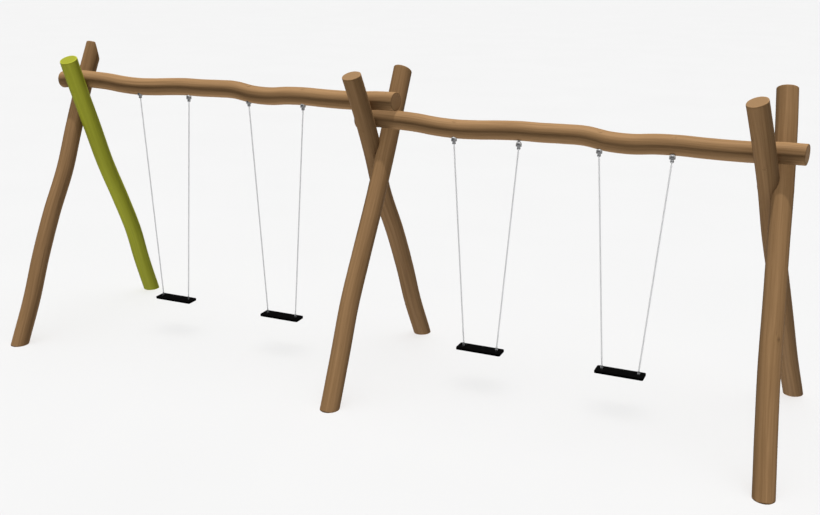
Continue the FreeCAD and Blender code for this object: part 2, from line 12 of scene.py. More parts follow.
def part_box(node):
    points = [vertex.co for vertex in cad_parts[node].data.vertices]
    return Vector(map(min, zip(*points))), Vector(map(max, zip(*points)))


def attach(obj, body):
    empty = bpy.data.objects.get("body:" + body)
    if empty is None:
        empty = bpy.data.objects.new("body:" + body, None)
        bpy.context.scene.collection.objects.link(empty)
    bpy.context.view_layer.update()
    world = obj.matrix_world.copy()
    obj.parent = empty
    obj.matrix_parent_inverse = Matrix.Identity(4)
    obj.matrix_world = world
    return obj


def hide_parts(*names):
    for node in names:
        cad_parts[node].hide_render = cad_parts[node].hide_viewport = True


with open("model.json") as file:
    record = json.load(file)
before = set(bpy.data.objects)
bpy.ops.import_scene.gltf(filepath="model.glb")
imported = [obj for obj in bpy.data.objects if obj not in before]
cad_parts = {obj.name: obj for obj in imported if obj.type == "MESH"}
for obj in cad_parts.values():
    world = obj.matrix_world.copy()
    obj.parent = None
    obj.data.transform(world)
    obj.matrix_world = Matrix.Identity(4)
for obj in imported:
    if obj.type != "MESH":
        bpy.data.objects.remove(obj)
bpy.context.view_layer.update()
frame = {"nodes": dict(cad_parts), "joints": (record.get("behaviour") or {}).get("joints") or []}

# Camera
CAMERA_PLACE = (4.2015, -8.9147, 4.1364)
CAMERA_HEADING = 25.214        # degrees from straight ahead towards -X
CAMERA_DIP = 16.283            # degrees below the horizon
CAMERA_LENS = 44.93            # millimetres
CAMERA_SENSOR = 36.0           # millimetres
CAMERA_SHIFT = (0.0362, -0.0086)

# Logs. A leg runs from its foot to its head, and its bow is how far it bends sideways, station by
# station. Its top is tipped to the back and to the right by the angles in tip.
STATION_STEP = 0.450
LEGS = {
    "left_front_leg": dict(
        foot=(-3.856, -1.095), head=(-3.745, 0.379), radius=0.093, top=3.135, tip=(0, 0),
        bow=(0, 0.007, -0.012, -0.010, 0.015, -0.002, -0.008, 0)),
    "left_rear_leg": dict(
        foot=(-3.762, 1.115), head=(-3.541, -0.354), radius=0.095, top=3.024, tip=(1, -3),
        bow=(0, 0.009, 0.035, 0.019, -0.008, -0.006, -0.007, 0)),
    "middle_front_leg": dict(
        foot=(0.003, -1.115), head=(0.069, 0.452), radius=0.093, top=3.023, tip=(9, 4),
        bow=(0, -0.012, -0.028, -0.016, 0, 0.006, 0.003, 0)),
    "middle_rear_leg": dict(
        foot=(-0.003, 1.131), head=(-0.127, -0.430), radius=0.093, top=3.030, tip=(6, 0),
        bow=(0, -0.009, 0.007, 0.008, -0.013, 0.008, 0.012, 0)),
    "right_front_leg": dict(
        foot=(3.869, -1.117), head=(3.605, 0.452), radius=0.091, top=3.032, tip=(1, 1),
        bow=(0, -0.010, -0.015, -0.007, -0.001, 0.009, 0.010, 0)),
    "right_rear_leg": dict(
        foot=(3.927, 1.130), head=(3.431, -0.455), radius=0.092, top=3.003, tip=(7, -5),
        bow=(0, -0.010, -0.007, -0.006, -0.007, 0.009, 0.009, 0)),
}
BOW_AZIMUTH = math.radians(25)
PAINTED_LEG = "left_rear_leg"
SLOPED_LEG = "left_front_leg"
SLOPED_CUT_DROP = 0.187
SLOPED_CUT_START = 0.002
SLOPED_CUT_AZIMUTH = math.radians(45)
BEAM_RADIUS = 0.091
BEAM_LENGTH = 4.092
BEAM_END_SLANT = math.radians(9)
BEAM_RISE = (0.009, 0.032, 0.026, 0.014, -0.009, -0.019, -0.013, 0.001, 0.011, 0.010, 0.014,
             0.012, -0.022, -0.030, -0.014, -0.009, -0.014, -0.015, -0.010, 0.005, 0.009)
BEAM_SWAY = (0.010, 0.012, 0.026, 0.040, 0.044, 0.038, 0.032, 0.032, 0.037, 0.044, 0.048,
             0.042, 0.025, 0.004, -0.022)
BEAMS = {
    "left_beam": dict(start=-3.909, ends=(2.756, 2.756), back=-0.010),
    "right_beam": dict(start=-0.241, ends=(2.557, 2.542), back=0),
}
BELOW_GROUND = 0.09            # how far a leg's skin is made below the ground, before it is sawn level
TANGENT_STEP = 0.005           # half the distance over which a log's direction is taken
SLANT_REACH = 0.16             # length over which a log's rings turn into its slanted end
RING_STEP = 0.014              # spacing of a log's rings of vertices
RING_POINTS = 84
UNDERSIZE = 0.0012             # how far a log's mean surface lies inside its CAD surface
END_ROUND = 0.006              # radius of the eased edge at a sawn end
END_ROUND_STEPS = 4
CAP_RINGS = 7
NOISE_SEED_STEP = 7.3          # keeps one log's swellings apart from the next one's
GRAIN_SEED_STEP = 3.7          # the same for the grain
KNOTS = {                      # place along the log, angle round it, radius
    "left_front_leg": [(0.92, 2.2, 0.015), (2.55, 4.9, 0.012)],
    "left_rear_leg": [(1.35, 1.1, 0.013)],
    "middle_front_leg": [(0.62, 2.9, 0.016), (2.62, 0.8, 0.013)],
    "middle_rear_leg": [(1.05, 0.3, 0.014), (1.9, 3.6, 0.012)],
    "right_front_leg": [(1.12, 5.4, 0.015), (2.3, 2.1, 0.012)],
    "right_rear_leg": [(0.75, 1.5, 0.015), (2.72, 3.9, 0.012)],
    "left_beam": [(-2.98, 2.4, 0.013), (-1.72, 5.9, 0.015)],
    "right_beam": [(0.55, 3.9, 0.014), (2.62, 3.4, 0.013)],
}
KNOT_BUMP = 0.0022
KNOT_LENGTHENING = 0.8         # a knot's reach along the log is counted as this share of it
KNOT_FIELD = 9                 # how many of its radii away a knot is still felt

# Pocket in a beam's underside, over each pivot, where a tongue swings up
POCKET_HALF_WIDTH = 0.0155
POCKET_WALL = 0.0015           # width taken by each sloping side wall
POCKET_FRONT = -0.030
POCKET_BACK = 0.056
POCKET_TOP = 0.0175            # above the pivot

# Chain of welded links
LINK_WIRE = 0.0025             # radius
LINK_HALF_WIDTH = 0.006        # of the wire's centreline
LINK_PITCH = 0.0185
LINK_ARC_STEPS = 7
LINK_TUBE_POINTS = 10
LINK_WELD = 0.10               # swelling of the wire at its weld
LINK_WOBBLE = math.radians(5)
FORK_PIN_TOP = 0.0325          # below the pivot
SHACKLE_CROWN = 0.0175         # inside of the shackle's bow above its pin

# Seats
SWINGS = (1, 2, 3, 4)
SEAT_CORNER = 0.017
SEAT_EDGE = 0.0035
GROOVE_PITCH = 0.0085
GROOVE_DEPTH = 0.0009
GROOVE_MARGIN = 0.016          # plain border along the long edges
GROOVE_FADE = 0.004            # over which the grooves run out at a pad
PAD_RADIUS = 0.018             # plain disc round each lug
THICK_ENOUGH = 0.012           # least half thickness that has grooves
SEAT_END_STEPS = 8             # rows of vertices in each rounded edge and corner of a seat's ends
SEAT_ROWS = 98                 # between its ends
SEAT_FLAT_POINTS = 100         # across its top and its underside
SEAT_EDGE_POINTS = 6


def smooth(values, position):
    """Value of a smooth curve through equally spaced values, at a position counted in steps."""
    last = len(values) - 1
    i = min(max(int(math.floor(position)), 0), last - 1)
    t = position - i
    a, b, c, d = values[max(i - 1, 0)], values[i], values[i + 1], values[min(i + 2, last)]
    slope_b = (c - a) / 2
    slope_c = (d - b) / 2
    return (b * (2 * t ** 3 - 3 * t ** 2 + 1) + slope_b * (t ** 3 - 2 * t ** 2 + t)
            + c * (3 * t ** 2 - 2 * t ** 3) + slope_c * (t ** 3 - t ** 2))


def leg_point(leg, height):
    steps = height / STATION_STEP
    share = steps / (len(leg["bow"]) - 1)
    bow = smooth(leg["bow"], steps) if steps > 0 else 0
    x = leg["foot"][0] + share * (leg["head"][0] - leg["foot"][0]) + bow * math.cos(BOW_AZIMUTH)
    y = leg["foot"][1] + share * (leg["head"][1] - leg["foot"][1]) + bow * math.sin(BOW_AZIMUTH)
    return Vector((x, y, height))


def beam_point(beam, x):
    share = (x - beam["start"]) / BEAM_LENGTH
    sway = smooth(BEAM_SWAY, share * (len(BEAM_SWAY) - 1))
    rise = smooth(BEAM_RISE, share * (len(BEAM_RISE) - 1))
    line = beam["ends"][0] + share * (beam["ends"][1] - beam["ends"][0])
    return Vector((x, beam["back"] + sway, line + rise))


def tipped(direction, tip):
    """Direction of a log's top face: square to the log, then tipped to the back and to the right."""
    normal = Matrix.Rotation(math.radians(-tip[0]), 3, "X") @ direction
    return Matrix.Rotation(math.radians(tip[1]), 3, "Y") @ normal


# ---------------------------------------------------------------- node helpers

class Nodes:
    """A material's node tree, with short calls for the nodes that the finishes use."""

    def __init__(self, name):
        self.material = bpy.data.materials.new(name)
        self.material.use_nodes = True
        self.tree = self.material.node_tree
        self.shader = self.tree.nodes["Principled BSDF"]

    def add(self, kind, inputs=None, **settings):
        node = self.tree.nodes.new(kind)
        for key, value in settings.items():
            setattr(node, key, value)
        for key, value in (inputs or {}).items():
            self.put(node.inputs[key], value)
        return node

    def put(self, socket, value):
        if isinstance(value, bpy.types.NodeSocket):
            self.tree.links.new(value, socket)
        else:
            socket.default_value = value

    def attribute(self, name, output="Vector"):
        return self.add("ShaderNodeAttribute", attribute_name=name).outputs[output]

    def scaled(self, vector, scale):
        return self.add("ShaderNodeMapping", {"Vector": vector, "Scale": scale}).outputs[0]

    def noise(self, vector, scale=1.0, detail=4.0, distortion=0.0):
        node = self.add("ShaderNodeTexNoise", {
            "Vector": vector, "Scale": scale, "Detail": detail,
            "Roughness": NOISE_ROUGHNESS, "Distortion": distortion})
        return node.outputs["Fac"]

    def math(self, operation, a, b=0.0):
        node = self.add("ShaderNodeMath", operation=operation)
        self.put(node.inputs[0], a)
        self.put(node.inputs[1], b)
        return node.outputs[0]

    def spread(self, value, low, high, to_low=0.0, to_high=1.0):
        node = self.add("ShaderNodeMapRange", {
            "Value": value, "From Min": low, "From Max": high, "To Min": to_low, "To Max": to_high})
        return node.outputs["Result"]

    def mix(self, factor, a, b, blend="MIX"):
        node = self.add("ShaderNodeMix", data_type="RGBA", blend_type=blend)
        self.put(node.inputs["Factor"], factor)
        self.put(node.inputs["A"], a)
        self.put(node.inputs["B"], b)
        return node.outputs["Result"]

    def ramp(self, value, stops):
        node = self.add("ShaderNodeValToRGB", {"Fac": value})
        elements = node.color_ramp.elements
        while len(elements) < len(stops):
            elements.new(0.5)
        for element, (place, colour) in zip(elements, stops):
            element.position = place
            element.color = (*colour, 1)
        return node.outputs["Color"]

    def bump(self, height, strength, distance):
        inputs = {"Height": height, "Strength": strength, "Distance": distance}
        return self.add("ShaderNodeBump", inputs).outputs["Normal"]

    def finish(self, **inputs):
        for key, value in inputs.items():
            self.put(self.shader.inputs[key.replace("_", " ")], value)
        return self.material


# ---------------------------------------------------------------- materials

WOOD_DARK = (0.126, 0.071, 0.031)
WOOD_MID = (0.164, 0.095, 0.0435)
WOOD_LIGHT = (0.202, 0.119, 0.056)
WOOD_END_DARK = (0.255, 0.150, 0.071)   # of an upright sawn face
WOOD_END_LIGHT = (0.350, 0.210, 0.102)
PAINTED_TOP_SHADE = 0.48          # painted shade: how much darker a sawn face is painted where it looks up
WOOD_KNOT = (0.070, 0.038, 0.018)
PAINT_DARK = (0.176, 0.184, 0.0135)
PAINT_MID = (0.208, 0.217, 0.017)
PAINT_LIGHT = (0.240, 0.250, 0.022)
PAINT_END = (0.155, 0.161, 0.0135)
PAINT_CHECK = (0.080, 0.084, 0.010)
ZINC = (0.30, 0.305, 0.31)
ZINC_DULL = (0.11, 0.112, 0.115)
ZINC_CAST = (0.33, 0.335, 0.34)
ZINC_BRIGHT = (0.60, 0.608, 0.615)
BRONZE_DARK = (0.30, 0.19, 0.08)
BRONZE_LIGHT = (0.46, 0.31, 0.15)
RUBBER_DARK = (0.0006, 0.0006, 0.0006)
RUBBER_DUSTY = (0.0016, 0.0015, 0.0015)
NOISE_ROUGHNESS = 0.55


def wood_fibres(n, grain):
    """Broad streaks, fibres, fine fibres and checks, in the log's straightened coordinates."""
    broad = n.noise(n.scaled(grain, (9, 9, 0.55)), detail=2.0)
    fibre = n.noise(n.scaled(grain, (52, 52, 1.1)), detail=5.0, distortion=0.25)
    fine = n.noise(n.scaled(grain, (230, 230, 5.0)), detail=3.0)
    line = n.noise(n.scaled(grain, (38, 38, 0.45)), detail=1.0)
    away = n.math("ABSOLUTE", n.math("SUBTRACT", line, 0.5))
    where = n.noise(n.scaled(grain, (14, 14, 1.3)), detail=1.0)
    thin = n.spread(away, 0.0, 0.006, 1.0, 0.0)
    check = n.math("MULTIPLY", thin, n.spread(where, 0.58, 0.66))
    return broad, fibre, fine, check


def end_grain(n, grain, stops):
    """Growth rings and radial checks of a sawn end, and painted shade that makes it darker the more it looks
    up.
    """
    parts = n.add("ShaderNodeSeparateXYZ", {"Vector": grain})
    flat = n.add("ShaderNodeCombineXYZ", {"X": parts.outputs[0], "Y": parts.outputs[1]}).outputs[0]
    radius = n.add("ShaderNodeVectorMath", {0: flat}, operation="LENGTH").outputs["Value"]
    wander = n.noise(n.scaled(flat, (22, 22, 22)), detail=2.0)
    phase = n.math("ADD", n.math("MULTIPLY", radius, 1250.0), n.math("MULTIPLY", wander, 9.0))
    rings = n.math("SINE", phase)
    speckle = n.noise(n.scaled(flat, (420, 420, 420)), detail=2.0)
    tone = n.math("ADD", n.math("MULTIPLY", rings, 0.16), speckle)
    # Painted shade: the more a sawn face looks up, the darker its colour is painted.
    facing = n.add("ShaderNodeSeparateXYZ", {"Vector": n.add("ShaderNodeNewGeometry").outputs["Normal"]})
    painted_top_shade = n.spread(facing.outputs[2], 0.0, 0.8, 1.0, PAINTED_TOP_SHADE)
    painted_shade_tint = n.add("ShaderNodeCombineXYZ", {"X": painted_top_shade, "Y": painted_top_shade, "Z": painted_top_shade}).outputs[0]
    return n.mix(1.0, n.ramp(tone, stops), painted_shade_tint, blend="MULTIPLY")


def log_wood(name):
    """Robinia: streaked sides, ringed ends with painted shade where they look up, and dark knots and checks.
    """
    n = Nodes(name)
    grain = n.attribute("grain")
    broad, fibre, fine, check = wood_fibres(n, grain)
    tone = n.math("ADD", n.math("MULTIPLY", fibre, 0.55), n.math("MULTIPLY", fine, 0.20))
    tone = n.math("ADD", tone, n.math("MULTIPLY", broad, 0.25))
    side = n.ramp(tone, ((0.36, WOOD_DARK), (0.50, WOOD_MID), (0.64, WOOD_LIGHT)))
    end = end_grain(n, grain, ((0.25, WOOD_END_DARK), (0.75, WOOD_END_LIGHT)))
    colour = n.mix(n.attribute("sawn", "Fac"), side, end)
    colour = n.mix(n.math("MULTIPLY", n.attribute("knot", "Fac"), 0.75), colour, (*WOOD_KNOT, 1))
    colour = n.mix(n.math("MULTIPLY", check, 0.7), colour, (*WOOD_KNOT, 1))
    height = n.math("ADD", n.math("MULTIPLY", fibre, 0.6), n.math("MULTIPLY", fine, 0.4))
    height = n.math("SUBTRACT", height, n.math("MULTIPLY", check, 1.2))
    normal = n.bump(height, 0.35, 0.0016)
    roughness = n.spread(fine, 0.3, 0.7, 0.58, 0.72)
    return n.finish(Base_Color=colour, Roughness=roughness, Normal=normal, Specular_IOR_Level=0.03)


def painted_wood(name):
    """Thin paint, through which the wood's fibres and checks still show."""
    n = Nodes(name)
    broad, fibre, fine, check = wood_fibres(n, n.attribute("grain"))
    tone = n.math("ADD", n.math("MULTIPLY", fibre, 0.5), n.math("MULTIPLY", broad, 0.5))
    colour = n.ramp(tone, ((0.36, PAINT_DARK), (0.50, PAINT_MID), (0.64, PAINT_LIGHT)))
    colour = n.mix(n.attribute("sawn", "Fac"), colour, (*PAINT_END, 1))
    colour = n.mix(n.math("MULTIPLY", check, 0.45), colour, (*PAINT_CHECK, 1))
    height = n.math("ADD", n.math("MULTIPLY", fibre, 0.6), n.math("MULTIPLY", fine, 0.25))
    height = n.math("SUBTRACT", height, check)
    normal = n.bump(height, 0.3, 0.0014)
    roughness = n.spread(fibre, 0.3, 0.7, 0.55, 0.68)
    return n.finish(Base_Color=colour, Roughness=roughness, Normal=normal, Specular_IOR_Level=0.04)


def plug_wood(name):
    """Wooden plugs, with the grain across them."""
    n = Nodes(name)
    place = n.add("ShaderNodeTexCoord").outputs["Object"]
    fibre = n.noise(n.scaled(place, (30, 240, 240)), detail=4.0)
    colour = n.ramp(fibre, ((0.35, WOOD_DARK), (0.5, WOOD_MID), (0.65, WOOD_LIGHT)))
    normal = n.bump(fibre, 0.3, 0.001)
    return n.finish(Base_Color=colour, Roughness=0.68, Normal=normal, Specular_IOR_Level=0.03)


def zinc_steel(name, colour, roughness, spangle, metallic):
    """Galvanised steel: soft spangle, faint drips and a fine tooth."""
    n = Nodes(name)
    place = n.add("ShaderNodeTexCoord").outputs["Object"]
    cells = n.add("ShaderNodeTexVoronoi", {"Vector": place, "Scale": spangle}).outputs["Color"]
    patch = n.add("ShaderNodeSeparateColor", {"Color": cells}).outputs[0]
    tooth = n.noise(place, scale=900.0, detail=2.0)
    cloud = n.noise(place, scale=60.0, detail=3.0)
    tone = n.math("ADD", n.math("MULTIPLY", patch, 0.25), n.math("MULTIPLY", cloud, 0.75))
    dark = tuple(c * 0.78 for c in colour)
    light = tuple(min(c * 1.2, 1.0) for c in colour)
    shade = n.ramp(tone, ((0.3, dark), (0.7, light)))
    rough = n.spread(tone, 0.3, 0.7, roughness + 0.08, roughness - 0.06)
    normal = n.bump(tooth, 0.2, 0.0003)
    return n.finish(Base_Color=shade, Metallic=metallic, Roughness=rough, Normal=normal)


def bronze(name):
    """Turned bushes."""
    n = Nodes(name)
    place = n.add("ShaderNodeTexCoord").outputs["Object"]
    turned = n.noise(n.scaled(place, (1500, 60, 60)), detail=2.0)
    shade = n.ramp(turned, ((0.3, BRONZE_DARK), (0.7, BRONZE_LIGHT)))
    return n.finish(Base_Color=shade, Metallic=1.0, Roughness=0.35, Normal=n.bump(turned, 0.2, 0.0002))


def black_rubber(name):
    """Moulded rubber with fine pores and a little dust."""
    n = Nodes(name)
    place = n.add("ShaderNodeTexCoord").outputs["Object"]
    pores = n.noise(place, scale=700.0, detail=3.0)
    dust = n.noise(place, scale=25.0, detail=4.0)
    shade = n.ramp(dust, ((0.35, RUBBER_DARK), (0.75, RUBBER_DUSTY)))
    rough = n.spread(dust, 0.3, 0.7, 0.62, 0.8)
    normal = n.bump(pores, 0.25, 0.0005)
    return n.finish(Base_Color=shade, Roughness=rough, Normal=normal, Specular_IOR_Level=0.004)


# ---------------------------------------------------------------- mesh helpers

def new_piece(name, points, faces, material, body, stands_for):
    """Smooth-shaded piece that rides on a body and stands for CAD nodes."""
    mesh = bpy.data.meshes.new(name)
    mesh.from_pydata([tuple(p) for p in points], [], faces)
    mesh.validate()
    mesh.shade_smooth()
    piece = bpy.data.objects.new(name, mesh)
    bpy.context.scene.collection.objects.link(piece)
    mesh.materials.append(material)
    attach(piece, body)
    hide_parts(*stands_for)
    return piece


def tube_faces(rings, around, offset=0, closed=False):
    """Quads between successive rings of vertices."""
    faces = []
    for i in range(rings if closed else rings - 1):
        a = offset + i * around
        b = offset + ((i + 1) % rings) * around
        for j in range(around):
            k = (j + 1) % around
            faces.append((a + j, a + k, b + k, b + j))
    return faces


def islands(node):
    """Lowest and highest corner of each separate solid of a CAD node, in order along X."""
    mesh = frame["nodes"][node].data
    owner = list(range(len(mesh.vertices)))

    def find(i):
        while owner[i] != i:
            owner[i] = owner[owner[i]]
            i = owner[i]
        return i

    seen = {}
    for i, vertex in enumerate(mesh.vertices):
        key = tuple(round(c, 6) for c in vertex.co)
        owner[i] = seen.setdefault(key, i)
    for edge in mesh.edges:
        a, b = (find(i) for i in edge.vertices)
        owner[a] = b
    groups = {}
    for i, vertex in enumerate(mesh.vertices):
        groups.setdefault(find(i), []).append(vertex.co)
    boxes = []
    for places in groups.values():
        low = Vector(min(p[k] for p in places) for k in range(3))
        high = Vector(max(p[k] for p in places) for k in range(3))
        boxes.append((low, high))
    return sorted(boxes, key=lambda b: b[0].x)


# ---------------------------------------------------------------- logs

class Log:
    """One log: its centreline, which way its far end faces, and where its knots are."""

    def __init__(self, name, point, start, stop, reference, radius, seed, knots):
        self.name = name
        self.point = point
        self.start = start
        self.stop = stop
        self.reference = reference
        self.radius = radius
        self.seed = seed
        self.knots = knots
        self.end_normal = self.direction(stop)
        self.pivots = []

    def direction(self, t):
        return (self.point(t + TANGENT_STEP) - self.point(t - TANGENT_STEP)).normalized()

    def end_shift(self, along, offset, t):
        """How far a point of a ring moves along the log to bring the ring into the slanted end."""
        share = min(max(1 - (self.stop - t) / SLANT_REACH, 0), 1)
        share = share * share * (3 - 2 * share)
        return -share * offset.dot(self.end_normal) / along.dot(self.end_normal)


def pocketed(point, t, pivots):
    """Lifts a point of a beam's underside into the pocket over a pivot."""
    for pivot in pivots:
        across = abs(t - pivot.x) < POCKET_HALF_WIDTH
        above = POCKET_FRONT < point.y - pivot.y < POCKET_BACK
        if across and above and point.z < pivot.z + POCKET_TOP:
            return Vector((point.x, point.y, pivot.z + POCKET_TOP))
    return point


def body_places(log, start, stop):
    """Evenly spaced rings, with closer ones at the side walls of the pockets."""
    count = int(round((stop - start) / RING_STEP))
    places = [start + (stop - start) * i / count for i in range(count + 1)]
    for pivot in log.pivots:
        if not start < pivot.x < stop:
            continue
        walls = [POCKET_HALF_WIDTH - POCKET_WALL / 2, POCKET_HALF_WIDTH + POCKET_WALL / 2]
        places = [t for t in places if abs(abs(t - pivot.x) - POCKET_HALF_WIDTH) > 2 * POCKET_WALL]
        places += [pivot.x + side * wall for side in (-1, 1) for wall in walls]
    return sorted(places)


def surface_offset(log, angle, t):
    """How far the surface stands off the mean radius: flutes, swellings and tool marks."""
    c, s = math.cos(angle), math.sin(angle)
    far = log.seed * NOISE_SEED_STEP
    swell = noise.noise(Vector((c * 0.5 + far, s * 0.5, t * 1.3)))
    flute = noise.noise(Vector((c * 1.7, s * 1.7 + far, t * 0.6)))
    facet = noise.noise(Vector((c * 4.5 + far, s * 4.5, t * 2.2)))
    mark = noise.noise(Vector((c * 9.0, s * 9.0 + far, t * 11.0)))
    return 0.0016 * swell + 0.0016 * flute + 0.0007 * facet + 0.00025 * mark


def knot_effect(log, angle, t):
    """Bump, darkness and sideways shift of the grain that a log's knots make at a point."""
    bump = 0.0
    dark = 0.0
    shift = 0.0
    for place, towards, size in log.knots:
        across = ((angle - towards + math.pi) % (2 * math.pi) - math.pi) * log.radius
        along = (t - place) * KNOT_LENGTHENING
        reach = math.hypot(across, along)
        if reach > KNOT_FIELD * size:
            continue
        bump += KNOT_BUMP * math.exp(-(reach / (1.9 * size)) ** 2)
        dark += math.exp(-(reach / (0.8 * size)) ** 4)
        shift -= across * size ** 2 / (reach ** 2 + 0.25 * size ** 2)
    return bump, min(dark, 1.0), shift / log.radius


def log_sections(log):
    """Every ring of a log as (place along it, drop in radius, share of the radius, sawn)."""
    sections = []
    body_start = log.start + END_ROUND
    body_stop = log.stop - END_ROUND
    turns = [math.pi / 2 * i / END_ROUND_STEPS for i in range(END_ROUND_STEPS)]
    for i in range(CAP_RINGS):
        sections.append((log.start, END_ROUND, (i + 0.25) / CAP_RINGS, 1.0))
    for turn in turns:
        place = body_start - END_ROUND * math.cos(turn)
        sections.append((place, END_ROUND * (1 - math.sin(turn)), 1.0, 0.0))
    for t in body_places(log, body_start, body_stop):
        sections.append((t, 0.0, 1.0, 0.0))
    for turn in reversed(turns):
        place = body_stop + END_ROUND * math.cos(turn)
        sections.append((place, END_ROUND * (1 - math.sin(turn)), 1.0, 0.0))
    for i in reversed(range(CAP_RINGS)):
        sections.append((log.stop, END_ROUND, (i + 0.25) / CAP_RINGS, 1.0))
    return sections


def build_log(log, material):
    """Skin of one log, with its grain, knot and sawn attributes in straightened coordinates."""
    points = []
    grain = []
    knot = []
    sawn = []
    sections = log_sections(log)
    for t, drop, share, cut in sections:
        centre = log.point(t)
        along = log.direction(t)
        side = (log.reference - along * log.reference.dot(along)).normalized()
        other = along.cross(side)
        for j in range(RING_POINTS):
            angle = 2 * math.pi * j / RING_POINTS
            bump, dark, shift = knot_effect(log, angle, t)
            radius = log.radius - UNDERSIZE + surface_offset(log, angle, t) + bump
            radius = min(radius - drop, log.radius) * share
            offset = (side * math.cos(angle) + other * math.sin(angle)) * radius
            slide = log.end_shift(along, offset, t)
            points.append(pocketed(centre + offset + along * slide, t, log.pivots))
            flow = angle + shift
            place = t + slide + log.seed * GRAIN_SEED_STEP
            grain.append((radius * math.cos(flow), radius * math.sin(flow), place))
            knot.append(dark * (1 - cut))
            sawn.append(cut)
    faces = tube_faces(len(sections), RING_POINTS)
    last = (len(sections) - 1) * RING_POINTS
    faces.append(tuple(reversed(range(RING_POINTS))))
    faces.append(tuple(range(last, last + RING_POINTS)))
    piece = new_piece(log.name + "_log", points, faces, material, "frame", [log.name])
    mesh = piece.data
    mesh.attributes.new("grain", "FLOAT_VECTOR", "POINT").data.foreach_set("vector", np.ravel(grain))
    mesh.attributes.new("knot", "FLOAT", "POINT").data.foreach_set("value", knot)
    mesh.attributes.new("sawn", "FLOAT", "POINT").data.foreach_set("value", sawn)
    return piece


def saw(piece, point, normal):
    """Cuts a log off at a plane, on the side that the normal points to, and closes the cut."""
    bm = bmesh.new()
    bm.from_mesh(piece.data)
    everything = bm.verts[:] + bm.edges[:] + bm.faces[:]
    cut = bmesh.ops.bisect_plane(bm, geom=everything, plane_co=point, plane_no=normal, clear_outer=True)
    rim = [e for e in cut["geom_cut"] if isinstance(e, bmesh.types.BMEdge)]
    made = bmesh.ops.contextual_create(bm, geom=rim)
    for face in made["faces"]:
        face.smooth = False
    bm.to_mesh(piece.data)
    bm.free()
    piece.data.update()


def cut_slope(piece, log):
    """Saws the left front leg's top off at a slope, looking outwards and to the back."""
    outward = Vector((math.cos(SLOPED_CUT_AZIMUTH), math.sin(SLOPED_CUT_AZIMUTH), 0))
    up = log.direction(log.stop)
    edge = log.point(log.stop) - outward * SLOPED_CUT_START
    fall = (outward * (log.radius + SLOPED_CUT_START) - up * SLOPED_CUT_DROP).normalized()
    normal = fall.cross(up).normalized().cross(fall)
    if normal.dot(up) < 0:
        normal = -normal
    saw(piece, edge, normal)


def build_logs(wood, paint):
    """The six legs and the two beams."""
    seeds = {name: i + 1 for i, name in enumerate([*LEGS, *BEAMS])}
    for name, leg in LEGS.items():
        log = Log(name, lambda t, leg=leg: leg_point(leg, t), -BELOW_GROUND, leg["top"], Vector((1, 0, 0)),
                  leg["radius"], seeds[name], KNOTS[name])
        log.end_normal = tipped(log.end_normal, leg["tip"])
        painted = name == PAINTED_LEG
        piece = build_log(log, paint if painted else wood)
        saw(piece, (0, 0, 0), (0, 0, -1))
        if name == SLOPED_LEG:
            cut_slope(piece, log)
    for name, beam in BEAMS.items():
        start = beam["start"]
        log = Log(name, lambda t, beam=beam: beam_point(beam, t), start, start + BEAM_LENGTH,
                  Vector((0, 0, 1)), BEAM_RADIUS, seeds[name], KNOTS[name])
        log.end_normal = Vector((math.cos(BEAM_END_SLANT), -math.sin(BEAM_END_SLANT), 0))
        log.pivots = [(low + high) / 2 for low, high in islands("pivot_pins")]
        build_log(log, wood)


# ---------------------------------------------------------------- chains

def link_shape(pitch):
    """Points of one welded link in its own plane, as rings of a tube: an array (rings, points, 3)."""
    straight = (pitch + 2 * LINK_WIRE - 2 * LINK_HALF_WIDTH) / 2
    path = []
    for end in (1, -1):
        for i in range(LINK_ARC_STEPS + 1):
            angle = math.pi * i / LINK_ARC_STEPS + (0 if end > 0 else math.pi)
            across = LINK_HALF_WIDTH * math.cos(angle)
            path.append((across, LINK_HALF_WIDTH * math.sin(angle) + end * straight, 0.0))
        path.append((-end * LINK_HALF_WIDTH, 0.0, LINK_WELD if end > 0 else 0.0))
    rings = []
    count = len(path)
    for i, (across, along, weld) in enumerate(path):
        before = path[i - 1]
        after = path[(i + 1) % count]
        heading = Vector((after[0] - before[0], 0, after[1] - before[1])).normalized()
        outward = Vector((heading.z, 0, -heading.x))
        radius = LINK_WIRE * (1 + weld)
        ring = []
        for j in range(LINK_TUBE_POINTS):
            turn = 2 * math.pi * j / LINK_TUBE_POINTS
            offset = outward * (radius * math.cos(turn)) + Vector((0, radius * math.sin(turn), 0))
            ring.append(Vector((across, 0, along)) + offset)
        rings.append(ring)
    return np.array(rings)


def chain(top, bottom):
    """Chain of links from a bearing point down to another. Its first and last links face along X."""
    run = bottom - top
    count = int(round(run.length / LINK_PITCH))
    if count % 2 == 0:
        count -= 1
    pitch = run.length / count
    shape = link_shape(pitch)
    rings, around = shape.shape[:2]
    flat = shape.reshape(-1, 3)
    lean = run.to_track_quat("-Z", "Y").to_matrix()
    points = []
    faces = []
    for i in range(count):
        facing = math.pi / 2 if i % 2 == 0 else 0.0
        wobble = LINK_WOBBLE * noise.noise(Vector((i * 0.37, top.x * 3.1, 0.5)))
        turn = np.array(Matrix.Rotation(facing + wobble, 3, "Z"))
        centre = top + run * ((i + 0.5) / count)
        placed = flat @ turn.T @ np.array(lean).T + np.array(centre)
        points.extend(placed.tolist())
        faces.extend(tube_faces(rings, around, offset=i * len(flat), closed=True))
    return points, faces


